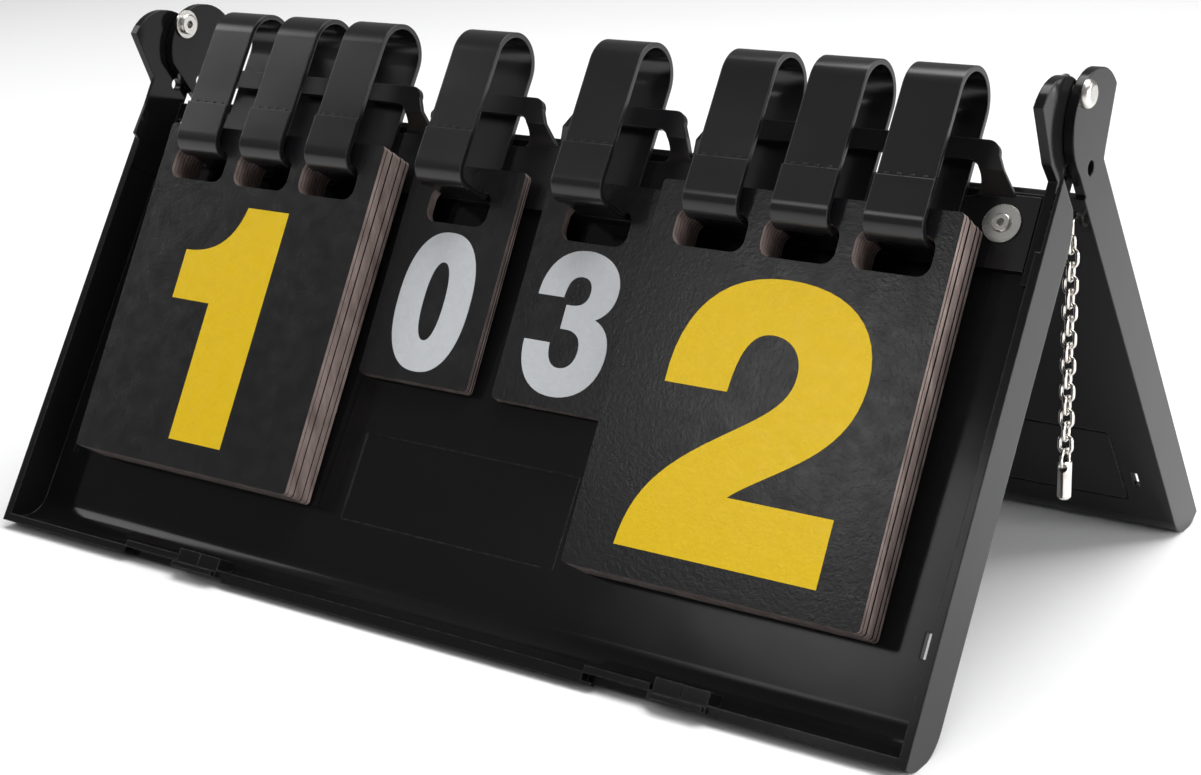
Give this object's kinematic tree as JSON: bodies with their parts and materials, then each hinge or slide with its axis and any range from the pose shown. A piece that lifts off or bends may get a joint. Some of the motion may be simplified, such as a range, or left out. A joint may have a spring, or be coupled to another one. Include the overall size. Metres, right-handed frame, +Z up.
{
  "type": "tabletop flip scoreboard",
  "caption": "Folding two-tray tabletop scoreboard: numbered cards turn over flat rings on a hanger plate; a chained pin locks the case.",
  "frame": {"origin": "centre of the footprint on the table", "axes": "+X to the right along the hinge, +Y to the rear tray, -Y to the side that shows the score, +Z up"},
  "size_m": [0.3896, 0.2312, 0.1824],
  "materials": {
    "shell": "gloss black ABS moulding",
    "hanger": "gloss black ABS moulding",
    "ring": "satin black nylon",
    "card": "black laminated card with pale brown cut edges",
    "metal": "zinc plated steel"
  },
  "bodies": {
    "front": {"front_shell": "shell", "hinge_rivet_left": "metal", "hinge_rivet_right": "metal", "hinge_washer_left": "metal", "hinge_washer_right": "metal", "hanger_plate": "hanger", "hanger_washer_left": "metal", "hanger_washer_right": "metal", "hanger_rivet_left": "metal", "hanger_rivet_right": "metal", "ring_1": "ring", "ring_2": "ring", "ring_3": "ring", "ring_4": "ring", "ring_5": "ring", "ring_6": "ring", "ring_7": "ring", "ring_8": "ring", "home_score_card_stack": "card", "guest_score_card_stack": "card", "home_set_card_stack": "card", "guest_set_card_stack": "card"},
    "rear": {"rear_shell": "shell", "chain_hook": "metal"},
    "home_score_leaf": {"home_score_front_card": "card"},
    "guest_score_leaf": {"guest_score_front_card": "card"},
    "home_set_leaf": {"home_set_front_card": "card"},
    "guest_set_leaf": {"guest_set_front_card": "card"},
    "chain": {"chain_links": "metal", "pin_ring": "metal"},
    "pin": {"lock_pin": "metal"}
  },
  "joints": [
    {"name": "case_hinge", "type": "hinge", "parent": "front", "child": "rear", "pos_m": [0, 0, 0.17595], "axis": [-1, 0, 0], "range_deg": [-293.3, 0]},
    {"name": "home_score_flip", "type": "hinge", "parent": "front", "child": "home_score_leaf", "pos_m": [0, -0.02335, 0.13865], "axis": [-1, 0, 0], "range_deg": [0, 120]},
    {"name": "guest_score_flip", "type": "hinge", "parent": "front", "child": "guest_score_leaf", "pos_m": [0, -0.02335, 0.13865], "axis": [-1, 0, 0], "range_deg": [0, 120]},
    {"name": "home_set_flip", "type": "hinge", "parent": "front", "child": "home_set_leaf", "pos_m": [0, -0.01737, 0.13591], "axis": [-1, 0, 0], "range_deg": [0, 100]},
    {"name": "guest_set_flip", "type": "hinge", "parent": "front", "child": "guest_set_leaf", "pos_m": [0, -0.01737, 0.13591], "axis": [-1, 0, 0], "range_deg": [0, 100]},
    {"name": "chain_swing", "type": "hinge", "parent": "rear", "child": "chain", "pos_m": [0.1874, 0.00414, 0.12762], "axis": [1, 0, 0], "range_deg": [-24, 24]},
    {"name": "pin_swing", "type": "hinge", "parent": "chain", "child": "pin", "pos_m": [0.1874, 0.00414, 0.05567], "axis": [0, 1, 0], "range_deg": [-40, 40]}
  ]
}
